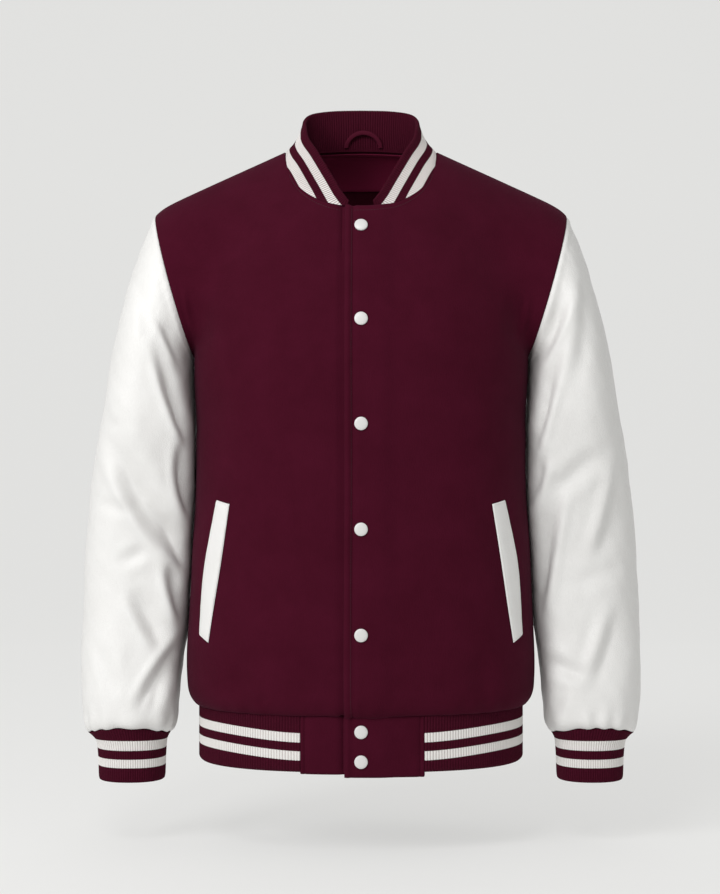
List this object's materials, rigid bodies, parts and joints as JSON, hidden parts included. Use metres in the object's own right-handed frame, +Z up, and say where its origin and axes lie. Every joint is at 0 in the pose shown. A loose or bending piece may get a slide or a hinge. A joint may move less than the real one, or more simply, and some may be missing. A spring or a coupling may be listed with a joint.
{
  "type": "varsity jacket",
  "caption": "Waist-length jacket with wool body, leather set-in sleeves and welts, striped rib collar, cuffs and hem, and a snap front, closed and filled out as worn.",
  "frame": {"origin": "middle of the neck, level with the points where the shoulder seams meet the collar", "axes": "+Z up along the body, +X to the wearer's left, -Y towards the closing front"},
  "size_m": [0.6332, 0.2829, 0.7636],
  "materials": {
    "wool": "matt brushed wool melton",
    "leather": "off-white, low gloss",
    "rib_knit": "matt rib knit with two white stripes",
    "snap_enamel": "white gloss paint on the cap",
    "tape": "matt twill tape",
    "lining": "smooth lining cloth"
  },
  "bodies": {
    "root": {"front_left": "wool", "front_right": "wool", "back": "wool", "sleeve_left": "leather", "sleeve_right": "leather", "cuff_left": "rib_knit", "cuff_right": "rib_knit", "collar": "rib_knit", "hem_rib": "rib_knit", "hem_tab_left": "wool", "hem_tab_right": "wool", "pocket_welt_left": "leather", "pocket_welt_right": "leather", "snap_1": "snap_enamel", "snap_2": "snap_enamel", "snap_3": "snap_enamel", "snap_4": "snap_enamel", "snap_5": "snap_enamel", "snap_6": "snap_enamel", "snap_7": "snap_enamel", "hanger_loop": "tape", "neck_tape": "tape", "back_neck_facing": "lining"}
  },
  "joints": []
}
